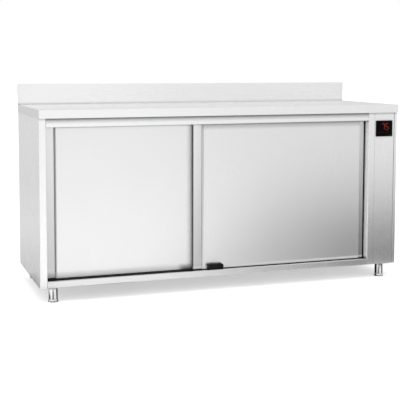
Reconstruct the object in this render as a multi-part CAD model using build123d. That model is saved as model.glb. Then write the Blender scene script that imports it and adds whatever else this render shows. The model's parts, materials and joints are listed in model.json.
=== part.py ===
from build123d import *
import os
from math import pi, sqrt

os.makedirs("parts", exist_ok=True)

# Plate warmer cabinet. Millimetres, Z up from the floor, X to the right, Y from the front to the back.
# The origin is on the floor under the middle of the worktop.

# Overall
WIDTH = 1800.0
DEPTH = 600.0
WORKTOP_HEIGHT = 870.0
UPSTAND_HEIGHT = 100.0
FLOOR_CLEARANCE = 70.0

# Sheet metal
SHEET = 1.0
TOP_SHEET = 1.2
BEND = 2.5
FIT = 0.3

# Worktop
HEM_HEIGHT = 40.0
FRONT_OVERHANG = 12.0
TOP_EDGE_ROUND = 4.0
TOP_CORNER_ROUND = 3.0
UPSTAND_THICKNESS = 12.0
UPSTAND_LIP = 22.0
UPSTAND_COVE = 8.0
END_CAP_WIDTH = 10.0
STIFFENER_COUNT = 3
STIFFENER_CROWN = 60.0
STIFFENER_FLANGE = 18.0
STIFFENER_HEIGHT = 23.0
STIFFENER_PITCH = 170.0

# Front frame
STILE_WIDTH = 34.0
RIGHT_FLANGE = 15.0
REAR_FLANGE = 20.0
FASCIA_WIDTH = 142.0
FASCIA_GAP = 1.0
FASCIA_LINE_INSET = 32.0
FASCIA_LINE_WIDTH = 2.0
FASCIA_LINE_DEPTH = 0.5
SILL_HEIGHT = 30.0
SILL_DEPTH = 88.0
SILL_LOWER_FLANGE = 30.0
RAIL_DROP = 40.0
RAIL_LOWER_FLANGE = 20.0
BASE_RIM = 20.0
RIVET_RADIUS = 1.6
RIVET_CLEARANCE = 0.05
RIVET_HEAD_RADIUS = 3.3
RIVET_HEAD = 1.0
RIVET_TAIL_RADIUS = 2.6
RIVET_TAIL = 1.4
RIVET_INSET = 12.0
RIVET_END_MARGIN = 50.0
RIVETS_A_SIDE = 6

# Heated compartment
BACK_INSULATION = 25.0
PARTITION_INSULATION = 15.0
PARTITION_JOINT = 3.7
INTAKE_RADIUS = 66.0
INTAKE_HOLE = 4.5
INTAKE_PITCH = 15.0
OUTLET_LENGTH = 60.0
OUTLET_WIDTH = 8.0

# Doors
REVEAL = 26.0
DOOR_WIDTH = 898.0
DOOR_THICKNESS = 24.0
DOOR_SPACING = 3.0
DOOR_OVER_RAIL = 8.0
DOOR_FLOOR_GAP = 0.5
DOOR_END_GAP = 0.4
LEADING_GRIP = 40.0
TRAILING_GRIP = 24.0
GRIP_DEPTH = 13.0
PANEL_ROUND = 8.0
GRIP_CORNER = 2.0
DOOR_LINER_FIT = 0.3

# Rubber seals and stops
JAMB_SEAL_THICKNESS = 6.0
JAMB_SEAL_MARGIN = 1.5
LOWER_SEAL_THICKNESS = 1.5
LOWER_SEAL_SETBACK = 14.0
STOP_FIT = 0.4

# Door running gear
TRACK_WALL = 1.5
TRACK_SLOT = 5.0
TRACK_DOOR_GAP = 8.0
ROLLER_RADIUS = 10.0
ROLLER_WIDTH = 4.5
ROLLER_RUNNING_GAP = 0.3
ROLLER_TOP_GAP = 1.7
ROLLER_SIDE_GAP = 0.3
AXLE_RADIUS = 2.5
AXLE_CLEARANCE = 0.05
AXLE_HEAD_RADIUS = 4.0
AXLE_HEAD = 1.0
HANGER_INSET = 70.0
HANGER_SHEET = 3.0
HANGER_FOOT_LENGTH = 60.0
HANGER_FOOT_WIDTH = 12.0
HANGER_PLATE_WIDTH = 30.0
HANGER_OVER_AXLE = 5.0
SCREW_RADIUS = 2.4
SCREW_CLEARANCE = 0.15
SCREW_HEAD_RADIUS = 4.2
SCREW_HEAD = 2.2
SCREW_DEPTH = 9.0

# Lower guide block
GUIDE_LENGTH = 74.0
GUIDE_HEIGHT = 26.0
GUIDE_FRONT_SETBACK = 4.0
GUIDE_DOOR_CLEARANCE = 0.6
GUIDE_REAR_FIN = 10.0
GUIDE_CORNER = 6.0
GUIDE_SCREW_PITCH = 44.0
GUIDE_SCREW_COUNTERBORE = 17.0

# Shelf
SHELF_HEIGHT = 465.0
SHELF_RIM = 30.0
SHELF_FRONT_GAP = 18.0
SHELF_REAR_GAP = 13.0
UPRIGHT_WIDTH = 22.0
UPRIGHT_DEPTH = 10.0
UPRIGHT_MARGIN = 12.0
UPRIGHT_INSET = 30.0
REAR_UPRIGHT_PITCH = 530.0
NOTCH_HEIGHT = 6.0
NOTCH_WIDTH = 9.0
NOTCH_PITCH = 50.0
BRACKET_REACH = 24.0
BRACKET_WIDTH = 14.0
BRACKET_DROP = 18.0
BRACKET_SHEET = 2.0

# Digital controller
DISPLAY_WIDTH = 90.0
DISPLAY_HEIGHT = 78.0
DISPLAY_RIGHT_MARGIN = 12.0
DISPLAY_DROP = 40.0
BEZEL_THICKNESS = 4.0
BEZEL_RIM = 1.6
BEZEL_CORNER = 2.0
GLASS_THICKNESS = 1.2
CONTROLLER_WIDTH = 70.0
CONTROLLER_HEIGHT = 60.0
CONTROLLER_DEPTH = 48.0
DIGIT_HEIGHT = 29.0
DIGIT_WIDTH = 15.0
DIGIT_STROKE = 3.0
DIGIT_PITCH = 21.0
DIGIT_RELIEF = 0.4
DIGIT_OFFSET = (4.0, 9.0)
DIGITS_LIT = ("abc", "acdfg")
TOUCH_MARK_RADIUS = 1.2
TOUCH_MARK_PITCH = 16.0
TOUCH_MARK_COUNT = 4

# Fan heater
HEATER_SIZE = 300.0
HEATER_DEPTH = 70.0
HEATER_CENTRE_Y = 20.0
HEATER_CENTRE_HEIGHT = 285.0
ELEMENT_RING_RADIUS = 112.0
ELEMENT_RADIUS = 4.2
ELEMENT_TERMINAL_PITCH = 40.0
ELEMENT_TERMINAL_LENGTH = 22.0
IMPELLER_RADIUS = 84.0
IMPELLER_WIDTH = 42.0
IMPELLER_BLADES = 16
IMPELLER_BLADE_ANGLE = 35.0
IMPELLER_SHEET = 1.2
IMPELLER_EYE_RADIUS = 56.0
HUB_RADIUS = 9.0
SHAFT_RADIUS = 4.0
SHAFT_CLEARANCE = 0.05
MOTOR_RADIUS = 34.0
MOTOR_LENGTH = 52.0
MOTOR_STANDOFF = 12.0
MOTOR_POST_RADIUS = 4.0
MOTOR_POST_OFFSET = 17.5

# Electrical fittings
RAIL_WIDTH = 35.0
RAIL_LENGTH = 240.0
RAIL_DEPTH = 7.5
RAIL_HEIGHT_ABOVE_FLOOR = 620.0
RAIL_CENTRE_Y = -20.0
CONTACTOR_SIZE = (66.0, 45.0, 78.0)
TERMINAL_SIZE = (44.0, 8.0, 50.0)
TERMINAL_COUNT = 5
TERMINAL_SCREW_RADIUS = 2.0
GLAND_RADIUS = 12.0
GLAND_NECK_RADIUS = 9.0
GLAND_NUT_HEIGHT = 6.0
GLAND_BORE = 5.5
GLAND_LENGTH = 18.0
GLAND_INSET = (75.0, 60.0)
PROBE_RADIUS = 3.0
PROBE_LENGTH = 70.0
PROBE_COLLAR_RADIUS = 6.0
PROBE_COLLAR_LENGTH = 9.0
PROBE_HEIGHT = 620.0
PROBE_Y = -120.0
THERMOSTAT_RADIUS = 14.0
THERMOSTAT_LENGTH = 24.0
RESET_STEM_LENGTH = 12.0
RESET_STEM_RADIUS = 4.5

# Legs
LEG_INSET_X = 66.0
LEG_INSET_Y = 42.0
LEG_RADIUS = 20.0
LEG_WALL = 1.5
LEG_PLATE_SIZE = 76.0
LEG_PLATE = 3.0
LEG_PLATE_CORNER = 8.0
LEG_INSERT_HEIGHT = 16.0
FOOT_RADIUS = 23.0
FOOT_NECK_RADIUS = 20.5
FOOT_HEIGHT = 12.0
FOOT_EDGE = 3.5
FOOT_TUBE_GAP = 0.3
SPINDLE_RADIUS = 6.0
SPINDLE_CLEARANCE = 0.05
SPINDLE_LENGTH = 44.0

# Places that follow from the sizes
LEFT, RIGHT = -WIDTH / 2, WIDTH / 2
FRONT, REAR = -DEPTH / 2, DEPTH / 2
HEM_BOTTOM = WORKTOP_HEIGHT - HEM_HEIGHT
TOP_UNDERSIDE = WORKTOP_HEIGHT - TOP_SHEET
UPSTAND_TOP = WORKTOP_HEIGHT + UPSTAND_HEIGHT
UPSTAND_FRONT = REAR - UPSTAND_THICKNESS
BODY_LEFT, BODY_RIGHT = LEFT + TOP_SHEET, RIGHT - TOP_SHEET
BODY_FRONT, BODY_REAR = FRONT + FRONT_OVERHANG, REAR - TOP_SHEET
BODY_BOTTOM = FLOOR_CLEARANCE
BODY_TOP = TOP_UNDERSIDE - TOP_EDGE_ROUND + TOP_SHEET
INSIDE_LEFT, INSIDE_RIGHT = BODY_LEFT + SHEET, BODY_RIGHT - SHEET
PAN_TOP = BODY_BOTTOM + 2 * SHEET
BACK_PANEL_FRONT = BODY_REAR - 2 * SHEET
FLOOR = BODY_BOTTOM + SILL_HEIGHT
RAIL_BOTTOM = HEM_BOTTOM - RAIL_DROP
STILE_RIGHT = BODY_LEFT + STILE_WIDTH
FASCIA_RIGHT = BODY_RIGHT - RIGHT_FLANGE - FASCIA_GAP
FASCIA_LEFT = FASCIA_RIGHT - FASCIA_WIDTH
OPENING_MIDDLE = (STILE_RIGHT + FASCIA_LEFT) / 2
SILL_BACK = BODY_FRONT + SILL_DEPTH
BACK_LINER_FRONT = BACK_PANEL_FRONT - BACK_INSULATION - SHEET
PARTITION_RIGHT = FASCIA_LEFT + SHEET

DOOR_PITCH = DOOR_THICKNESS + DOOR_SPACING
FRONT_DOOR_Y = BODY_FRONT + REVEAL + DOOR_THICKNESS / 2
REAR_DOOR_Y = FRONT_DOOR_Y + DOOR_PITCH
DOORS_BACK = REAR_DOOR_Y + DOOR_THICKNESS / 2
JAMB_DEPTH = DOORS_BACK + PARTITION_JOINT - BODY_FRONT
DOOR_BOTTOM = FLOOR + LOWER_SEAL_THICKNESS + DOOR_FLOOR_GAP
DOOR_TOP = RAIL_BOTTOM + DOOR_OVER_RAIL
DOOR_FAR_LEFT = STILE_RIGHT + JAMB_SEAL_THICKNESS + DOOR_END_GAP
DOOR_FAR_RIGHT = FASCIA_LEFT - JAMB_SEAL_THICKNESS - DOOR_END_GAP
DOOR_TRAVEL = DOOR_FAR_RIGHT - DOOR_FAR_LEFT - DOOR_WIDTH
DOOR_STARTS = {"left": DOOR_FAR_LEFT, "right": DOOR_FAR_RIGHT - DOOR_WIDTH}
DOOR_CENTRES_Y = {"left": REAR_DOOR_Y, "right": FRONT_DOOR_Y}

TRACK_BOTTOM = DOOR_TOP + TRACK_DOOR_GAP
TRACK_LIP_TOP = TRACK_BOTTOM + TRACK_WALL
AXLE_HEIGHT = TRACK_LIP_TOP + ROLLER_RUNNING_GAP + ROLLER_RADIUS
TRACK_ROOF = AXLE_HEIGHT + ROLLER_RADIUS + ROLLER_TOP_GAP
CEILING = TRACK_ROOF + TRACK_WALL
TRACK_INNER_HALF = (DOOR_PITCH - TRACK_WALL) / 2
HANGER_TOP = AXLE_HEIGHT + HANGER_OVER_AXLE
HANGER_FOOT_TOP = DOOR_TOP + HANGER_SHEET
SCREW_X = (HANGER_PLATE_WIDTH + HANGER_FOOT_LENGTH) / 4
SCREW_HOLE_RADIUS = SCREW_RADIUS + SCREW_CLEARANCE

GUIDE_SCREW_SEAT = FLOOR + GUIDE_HEIGHT - GUIDE_SCREW_COUNTERBORE

DISPLAY_X = FASCIA_RIGHT - DISPLAY_RIGHT_MARGIN - DISPLAY_WIDTH / 2
DISPLAY_Z = HEM_BOTTOM - DISPLAY_DROP - DISPLAY_HEIGHT / 2
BEZEL_FRONT = BODY_FRONT - BEZEL_THICKNESS
HEATER_Z = HEATER_CENTRE_HEIGHT
HEATER_RIGHT = PARTITION_RIGHT + HEATER_DEPTH
IMPELLER_LEFT = PARTITION_RIGHT + (HEATER_DEPTH - SHEET - IMPELLER_WIDTH) / 2
IMPELLER_RIGHT = IMPELLER_LEFT + IMPELLER_WIDTH
MOTOR_LEFT = HEATER_RIGHT + MOTOR_STANDOFF
LEG_X = BODY_RIGHT - LEG_INSET_X
LEG_FRONT_Y = BODY_FRONT + LEG_INSET_Y
LEG_REAR_Y = BODY_REAR - LEG_INSET_Y
LEG_PLACES = {
    "front_left": (-LEG_X, LEG_FRONT_Y),
    "front_right": (LEG_X, LEG_FRONT_Y),
    "rear_left": (-LEG_X, LEG_REAR_Y),
    "rear_right": (LEG_X, LEG_REAR_Y),
}
LEG_PLATE_TOP = BODY_BOTTOM + SHEET
LEG_TOP = LEG_PLATE_TOP - LEG_PLATE
LEG_BOTTOM = FOOT_HEIGHT + FOOT_TUBE_GAP


def block(x, y, z):
    """A box between the low and high places given on each axis."""
    size = [high - low for low, high in (x, y, z)]
    middle = [(low + high) / 2 for low, high in (x, y, z)]
    return Pos(*middle) * Box(*size)


def rod_x(x, y, z, radius):
    """A round bar along X."""
    return Pos((x[0] + x[1]) / 2, y, z) * Rot(0, 90, 0) * Cylinder(radius, x[1] - x[0])


def rod_y(x, y, z, radius):
    """A round bar along Y."""
    return Pos(x, (y[0] + y[1]) / 2, z) * Rot(90, 0, 0) * Cylinder(radius, y[1] - y[0])


def rod_z(x, y, z, radius):
    """A round bar along Z."""
    return Pos(x, y, (z[0] + z[1]) / 2) * Cylinder(radius, z[1] - z[0])


def bent_sheet(points, side, thickness=SHEET, bend=BEND):
    """The section of a folded sheet whose outside follows the points, with its metal on the given side."""
    outside = FilletPolyline(*points, radius=bend)
    return make_face(offset(outside, thickness, side=side))


def along_x(section, x):
    """A YZ section drawn out between two places on X."""
    return Pos(x[0], 0, 0) * extrude(Plane.YZ * section, amount=x[1] - x[0])


def along_z(section, z):
    """An XY section drawn up between two heights."""
    return extrude(Pos(0, 0, z[0]) * section, amount=z[1] - z[0])


def save(name, *solids):
    """Writes one node, which holds one solid or a group of separate ones."""
    shape = solids[0] if len(solids) == 1 else Compound(children=[solid_of(s) for s in solids])
    export_step(shape, f"parts/{name}.step")


def solid_of(shape):
    """The single solid inside a shape."""
    return shape.solids()[0]


# Worktop


def tray(inset, bottom):
    """The worktop's box shape, drawn in by inset, with its front and side edges rounded."""
    shape = block(
        (LEFT + inset, RIGHT - inset),
        (FRONT + inset, REAR - inset),
        (bottom, WORKTOP_HEIGHT - inset),
    )
    front_corners = shape.edges().filter_by(Axis.Z).group_by(Axis.Y)[0]
    shape = fillet(front_corners, TOP_CORNER_ROUND - inset)
    rim = shape.faces().sort_by(Axis.Z)[-1].edges()
    rounded = [edge for edge in rim if edge.center().Y < REAR - inset - FIT]
    return fillet(rounded, TOP_EDGE_ROUND - inset)


def end_cap_places():
    """The low and high X of each end cap."""
    return (LEFT, LEFT + END_CAP_WIDTH), (RIGHT - END_CAP_WIDTH, RIGHT)


def worktop():
    """The top with its hems, the closing flange under the front hem and the upstand along the back."""
    shape = tray(0, HEM_BOTTOM) - tray(TOP_SHEET, HEM_BOTTOM - HEM_HEIGHT)
    shape += block(
        (BODY_LEFT, BODY_RIGHT),
        (FRONT + TOP_SHEET, BODY_FRONT - FIT),
        (HEM_BOTTOM, HEM_BOTTOM + TOP_SHEET),
    )
    section = bent_sheet(
        [
            (UPSTAND_FRONT, TOP_UNDERSIDE),
            (UPSTAND_FRONT, UPSTAND_TOP),
            (REAR, UPSTAND_TOP),
            (REAR, UPSTAND_TOP - UPSTAND_LIP),
        ],
        Side.RIGHT,
        TOP_SHEET,
    )
    shape += along_x(section, (LEFT + END_CAP_WIDTH + FIT, RIGHT - END_CAP_WIDTH - FIT))
    cove = [
        edge
        for edge in shape.edges().filter_by(Axis.X)
        if abs(edge.center().Y - UPSTAND_FRONT) < FIT and abs(edge.center().Z - WORKTOP_HEIGHT) < FIT
    ]
    shape = fillet(cove, UPSTAND_COVE)
    for x in end_cap_places():
        shape -= block(x, (UPSTAND_FRONT, REAR), (TOP_UNDERSIDE, WORKTOP_HEIGHT))
    return shape


def upstand_end_caps():
    """The folded boxes that close the two ends of the upstand, let into the top sheet."""
    caps = []
    for x in end_cap_places():
        cap = block(x, (UPSTAND_FRONT, REAR), (TOP_UNDERSIDE, UPSTAND_TOP))
        top_edges = cap.faces().sort_by(Axis.Z)[-1].edges().filter_by(Axis.X)
        cap = fillet(top_edges, BEND)
        cap -= block(
            (max(x[0], LEFT + TOP_SHEET), min(x[1], RIGHT - TOP_SHEET)),
            (UPSTAND_FRONT + TOP_SHEET, REAR - TOP_SHEET),
            (WORKTOP_HEIGHT, UPSTAND_TOP - BEND),
        )
        caps.append(cap)
    return caps


def hat_section(middle, top, crown, flange, height):
    """A hat-shaped stiffener: flanges at the top, crown at the bottom."""
    half, outer = crown / 2, crown / 2 + flange
    x = (LEFT + TOP_EDGE_ROUND, RIGHT - TOP_EDGE_ROUND)
    web = block(x, (middle - half, middle + half), (top - height, top))
    web -= block(
        (LEFT, RIGHT),
        (middle - half + SHEET, middle + half - SHEET),
        (top - height + SHEET, top),
    )
    for side in (-1, 1):
        flange = sorted((middle + side * (half - SHEET), middle + side * outer))
        web += block(x, flange, (top - SHEET, top))
    return web


def worktop_stiffeners():
    """Hat channels from side to side under the worktop."""
    first = -(STIFFENER_COUNT - 1) / 2
    middles = [(first + i) * STIFFENER_PITCH for i in range(STIFFENER_COUNT)]
    return [
        hat_section(middle, TOP_UNDERSIDE, STIFFENER_CROWN, STIFFENER_FLANGE, STIFFENER_HEIGHT)
        for middle in middles
    ]


# Body shell


def side_panel(front_flange):
    """The left outer side, folded round into its front flange and the door reveal behind it."""
    section = bent_sheet(
        [
            (BODY_LEFT + REAR_FLANGE, BODY_REAR),
            (BODY_LEFT, BODY_REAR),
            (BODY_LEFT, BODY_FRONT),
            (BODY_LEFT + front_flange, BODY_FRONT),
            (BODY_LEFT + front_flange, BODY_FRONT + JAMB_DEPTH),
        ],
        Side.LEFT,
    )
    panel = along_z(section, (BODY_BOTTOM, BODY_TOP))
    panel -= foot_of_return(BODY_LEFT + front_flange, JAMB_DEPTH)
    return panel - rivet_holes(BODY_LEFT + RIVET_INSET)


def foot_of_return(x, depth):
    """The lower end of a folded return at x, which is cut away over the base pan."""
    return block(
        (x - 2 * SHEET, x + 2 * SHEET),
        (BODY_FRONT + BEND, BODY_FRONT + depth + FIT),
        (BODY_BOTTOM - SHEET, PAN_TOP),
    )


def right_side_panel():
    """The right outer side, with the narrow front flange that the control fascia meets."""
    section = bent_sheet(
        [
            (BODY_RIGHT - RIGHT_FLANGE, BODY_FRONT + RIGHT_FLANGE),
            (BODY_RIGHT - RIGHT_FLANGE, BODY_FRONT),
            (BODY_RIGHT, BODY_FRONT),
            (BODY_RIGHT, BODY_REAR),
            (BODY_RIGHT - REAR_FLANGE, BODY_REAR),
        ],
        Side.LEFT,
    )
    panel = along_z(section, (BODY_BOTTOM, BODY_TOP))
    panel -= foot_of_return(BODY_RIGHT - RIGHT_FLANGE, RIGHT_FLANGE)
    return panel - rivet_holes(BODY_RIGHT - RIVET_INSET)


def rivet_heights():
    """The heights of the rivets in each rear flange, spread evenly below the worktop's hem."""
    low, high = PAN_TOP + RIVET_END_MARGIN, HEM_BOTTOM - RIVET_END_MARGIN
    return [low + i * (high - low) / (RIVETS_A_SIDE - 1) for i in range(RIVETS_A_SIDE)]


def rivet_holes(x):
    """The holes through a rear flange and the back panel for one row of rivets."""
    y = (BACK_PANEL_FRONT - SHEET, BODY_REAR + SHEET)
    return [rod_y(x, y, z, RIVET_RADIUS + RIVET_CLEARANCE) for z in rivet_heights()]


def back_panel():
    """The flat outer back, inside the rear flanges of the two sides."""
    panel = block(
        (BODY_LEFT + BEND, BODY_RIGHT - BEND),
        (BACK_PANEL_FRONT, BODY_REAR - SHEET),
        (PAN_TOP, BODY_TOP),
    )
    return panel - rivet_holes(BODY_LEFT + RIVET_INSET) - rivet_holes(BODY_RIGHT - RIVET_INSET)


def back_panel_rivets():
    """The blind rivets that hold the back panel to the rear flanges of the two sides."""
    rivets = []
    for x in (BODY_LEFT + RIVET_INSET, BODY_RIGHT - RIVET_INSET):
        for z in rivet_heights():
            head = rod_y(x, (BODY_REAR, BODY_REAR + RIVET_HEAD), z, RIVET_HEAD_RADIUS)
            rim = head.edges().filter_by(GeomType.CIRCLE).sort_by(Axis.Y)[-1]
            rivet = fillet(rim, RIVET_HEAD - RIVET_CLEARANCE)
            rivet += rod_y(x, (BACK_PANEL_FRONT, BODY_REAR), z, RIVET_RADIUS)
            tail = (BACK_PANEL_FRONT - RIVET_TAIL, BACK_PANEL_FRONT)
            rivets.append(rivet + rod_y(x, tail, z, RIVET_TAIL_RADIUS))
    return rivets


def base_pan():
    """The underside, with its rim turned up against the sides and the back."""
    x, y = (INSIDE_LEFT, INSIDE_RIGHT), (BODY_FRONT + BEND, BODY_REAR - SHEET)
    pan = block((BODY_LEFT + BEND, BODY_RIGHT - BEND), y, (BODY_BOTTOM + SHEET, PAN_TOP))
    for low, high in ((x[0], x[0] + BEND), (x[1] - BEND, x[1])):
        pan += block((low, high), (y[0], y[1] - BEND), (BODY_BOTTOM + SHEET, PAN_TOP))
    for low, high in ((x[0], x[0] + SHEET), (x[1] - SHEET, x[1])):
        pan += block((low, high), (y[0] + JAMB_DEPTH, y[1] - BEND), (PAN_TOP, PAN_TOP + BASE_RIM))
    gland_x, gland_y = gland_place()
    return pan - rod_z(gland_x, gland_y, (BODY_BOTTOM, PAN_TOP + SHEET), GLAND_NECK_RADIUS)


def sill():
    """The bottom rail of the front frame, folded back level with the compartment floor."""
    section = bent_sheet(
        [
            (BODY_FRONT + SILL_LOWER_FLANGE, BODY_BOTTOM),
            (BODY_FRONT, BODY_BOTTOM),
            (BODY_FRONT, FLOOR),
            (SILL_BACK, FLOOR),
        ],
        Side.RIGHT,
    )
    rail = along_x(section, (STILE_RIGHT, FASCIA_LEFT))
    leg_x, leg_y = LEG_PLACES["front_left"]
    half = LEG_PLATE_SIZE / 2 + FIT
    rail -= block(
        (leg_x - half, leg_x + half),
        (BODY_FRONT + BEND, leg_y + half),
        (BODY_BOTTOM - FIT, BODY_BOTTOM + BEND),
    )
    for x in guide_screw_places():
        rail -= rod_z(x, guide_screw_y(), (FLOOR - 2 * SHEET, FLOOR + SHEET), SCREW_HOLE_RADIUS)
    return rail


def top_rail():
    """The rail over the doors, with its lower edge turned back under."""
    section = bent_sheet(
        [
            (BODY_FRONT + RAIL_LOWER_FLANGE, RAIL_BOTTOM),
            (BODY_FRONT, RAIL_BOTTOM),
            (BODY_FRONT, BODY_TOP),
            (BODY_FRONT + SILL_LOWER_FLANGE, BODY_TOP),
        ],
        Side.RIGHT,
    )
    return along_x(section, (STILE_RIGHT, FASCIA_LEFT))


def control_fascia():
    """The front of the control compartment, folded into the door reveal, with a pressed line beside it."""
    section = bent_sheet(
        [
            (FASCIA_LEFT, BODY_FRONT + JAMB_DEPTH),
            (FASCIA_LEFT, BODY_FRONT),
            (FASCIA_RIGHT, BODY_FRONT),
            (FASCIA_RIGHT, BODY_FRONT + RIGHT_FLANGE),
        ],
        Side.LEFT,
    )
    panel = along_z(section, (BODY_BOTTOM, BODY_TOP))
    panel -= foot_of_return(FASCIA_LEFT, JAMB_DEPTH)
    panel -= foot_of_return(FASCIA_RIGHT, RIGHT_FLANGE)
    line_left = FASCIA_LEFT + FASCIA_LINE_INSET
    panel -= block(
        (line_left, line_left + FASCIA_LINE_WIDTH),
        (BODY_FRONT - SHEET, BODY_FRONT + FASCIA_LINE_DEPTH),
        (BODY_BOTTOM - FIT, HEM_BOTTOM),
    )
    window = (CONTROLLER_WIDTH / 2 + FIT, CONTROLLER_HEIGHT / 2 + FIT)
    return panel - block(
        (DISPLAY_X - window[0], DISPLAY_X + window[0]),
        (BODY_FRONT - SHEET, BODY_FRONT + 2 * SHEET),
        (DISPLAY_Z - window[1], DISPLAY_Z + window[1]),
    )


# Heated compartment


def left_liner():
    """The compartment's left wall, in line with the stile's reveal."""
    return block(
        (STILE_RIGHT - SHEET, STILE_RIGHT),
        (BODY_FRONT + JAMB_DEPTH + FIT, BACK_LINER_FRONT),
        (FLOOR, CEILING + SHEET),
    )


def back_liner():
    """The compartment's back wall."""
    return block(
        (STILE_RIGHT - SHEET, PARTITION_RIGHT),
        (BACK_LINER_FRONT, BACK_LINER_FRONT + SHEET),
        (FLOOR - SHEET, CEILING),
    )


def floor_liner():
    """The compartment's floor, level with the sill's upper flange."""
    return block(
        (STILE_RIGHT - SHEET, FASCIA_LEFT),
        (SILL_BACK + FIT, BACK_LINER_FRONT),
        (FLOOR - SHEET, FLOOR),
    )


def ceiling_liner():
    """The compartment's ceiling, which also carries the door track."""
    return block(
        (STILE_RIGHT, FASCIA_LEFT),
        (BODY_FRONT + SHEET, BACK_LINER_FRONT + SHEET),
        (CEILING, CEILING + SHEET),
    )


def intake_holes():
    """The places of the round grille's holes, as offsets along Y and Z from the fan's centre."""
    row_pitch = INTAKE_PITCH * sqrt(3) / 2
    rows = int(INTAKE_RADIUS / row_pitch)
    places = []
    for row in range(-rows, rows + 1):
        shift = INTAKE_PITCH / 2 if row % 2 else 0
        for column in range(-rows, rows + 1):
            y, z = column * INTAKE_PITCH + shift, row * row_pitch
            if sqrt(y * y + z * z) < INTAKE_RADIUS:
                places.append((y, z))
    return places


def outlet_places():
    """The hot air slots on one pair of sides, as offsets across and along the side from the middle."""
    reach, pitch = HEATER_SIZE / 2 - 2 * OUTLET_WIDTH, OUTLET_LENGTH + OUTLET_WIDTH
    return [(side * reach, step * pitch) for side in (-1, 1) for step in (-1, 0, 1)]


def partition_wall():
    """The wall to the control compartment, with the fan's round intake and four hot air outlets."""
    wall = block(
        (FASCIA_LEFT, PARTITION_RIGHT),
        (BODY_FRONT + JAMB_DEPTH + FIT, BACK_LINER_FRONT),
        (PAN_TOP, CEILING + SHEET),
    )
    through = (FASCIA_LEFT - SHEET, PARTITION_RIGHT + SHEET)
    cuts = [
        rod_x(through, HEATER_CENTRE_Y + y, HEATER_Z + z, INTAKE_HOLE) for y, z in intake_holes()
    ]
    half_length, half_width = OUTLET_LENGTH / 2, OUTLET_WIDTH / 2
    for across, along in outlet_places():
        for y, z, half_y, half_z in (
            (across, along, half_width, half_length),
            (along, across, half_length, half_width),
        ):
            y, z = HEATER_CENTRE_Y + y, HEATER_Z + z
            cuts.append(block(through, (y - half_y, y + half_y), (z - half_z, z + half_z)))
    cuts.append(rod_x(through, PROBE_Y, PROBE_HEIGHT, PROBE_RADIUS + SHAFT_CLEARANCE))
    return wall - cuts


def wall_insulation():
    """The mineral wool slabs behind the liners: left, back, floor, ceiling and partition."""
    left_face = INSIDE_LEFT + SHEET
    left = block(
        (left_face, STILE_RIGHT - SHEET),
        (BODY_FRONT + JAMB_DEPTH + SHEET, BACK_LINER_FRONT),
        (FLOOR, CEILING),
    )
    back = block(
        (left_face, PARTITION_RIGHT),
        (BACK_LINER_FRONT + SHEET, BACK_PANEL_FRONT),
        (PAN_TOP, CEILING),
    )
    pocket = (BACK_PANEL_FRONT - RIVET_TAIL - FIT, BACK_PANEL_FRONT + FIT)
    for z in rivet_heights():
        back -= rod_y(BODY_LEFT + RIVET_INSET, pocket, z, RIVET_TAIL_RADIUS + FIT)
    floor = block(
        (left_face, FASCIA_LEFT),
        (SILL_BACK, BACK_LINER_FRONT + SHEET),
        (PAN_TOP, FLOOR - SHEET),
    )
    ceiling = block(
        (STILE_RIGHT, FASCIA_LEFT),
        (BODY_FRONT + SHEET, BACK_PANEL_FRONT),
        (CEILING + SHEET, TOP_UNDERSIDE - STIFFENER_HEIGHT),
    )
    partition = block(
        (PARTITION_RIGHT, PARTITION_RIGHT + PARTITION_INSULATION),
        (BODY_FRONT + JAMB_DEPTH + SHEET, BACK_PANEL_FRONT),
        (PAN_TOP, CEILING),
    )
    half = HEATER_SIZE / 2 + FIT
    partition -= block(
        (PARTITION_RIGHT - SHEET, PARTITION_RIGHT + PARTITION_INSULATION + SHEET),
        (HEATER_CENTRE_Y - half, HEATER_CENTRE_Y + half),
        (HEATER_Z - half, HEATER_Z + half),
    )
    partition -= rod_x(
        (PARTITION_RIGHT - SHEET, PARTITION_RIGHT + PARTITION_INSULATION + SHEET),
        PROBE_Y,
        PROBE_HEIGHT,
        PROBE_COLLAR_RADIUS + FIT,
    )
    return [left, back, floor, ceiling, partition]


# Shelf


def shelf_x():
    """The shelf's two ends, just inside the uprights."""
    return STILE_RIGHT + UPRIGHT_DEPTH + 2 * FIT, FASCIA_LEFT - UPRIGHT_DEPTH - 2 * FIT


def shelf_y():
    """The shelf's front and back edges."""
    return DOORS_BACK + SHELF_FRONT_GAP, BACK_LINER_FRONT - SHELF_REAR_GAP


def shelf():
    """The intermediate shelf: a sheet with its four edges turned down."""
    x, y = shelf_x(), shelf_y()
    bottom = SHELF_HEIGHT - SHELF_RIM
    section = bent_sheet(
        [(y[0], bottom), (y[0], SHELF_HEIGHT), (y[1], SHELF_HEIGHT), (y[1], bottom)],
        Side.RIGHT,
    )
    sheet = along_x(section, x)
    for low, high in ((x[0], x[0] + SHEET), (x[1] - SHEET, x[1])):
        sheet += block((low, high), (y[0] + BEND, y[1] - BEND), (bottom, SHELF_HEIGHT))
    return sheet


def shelf_stiffener():
    """The channel that runs along under the shelf."""
    x, y = shelf_x(), shelf_y()
    middle = (y[0] + y[1]) / 2
    top, bottom = SHELF_HEIGHT - SHEET, SHELF_HEIGHT - SHELF_RIM
    half = STIFFENER_CROWN / 2
    outer = block((x[0] + SHEET, x[1] - SHEET), (middle - half, middle + half), (bottom, top))
    return outer - block(
        (x[0], x[1]),
        (middle - half + SHEET, middle + half - SHEET),
        (bottom + SHEET, top + SHEET),
    )


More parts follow.
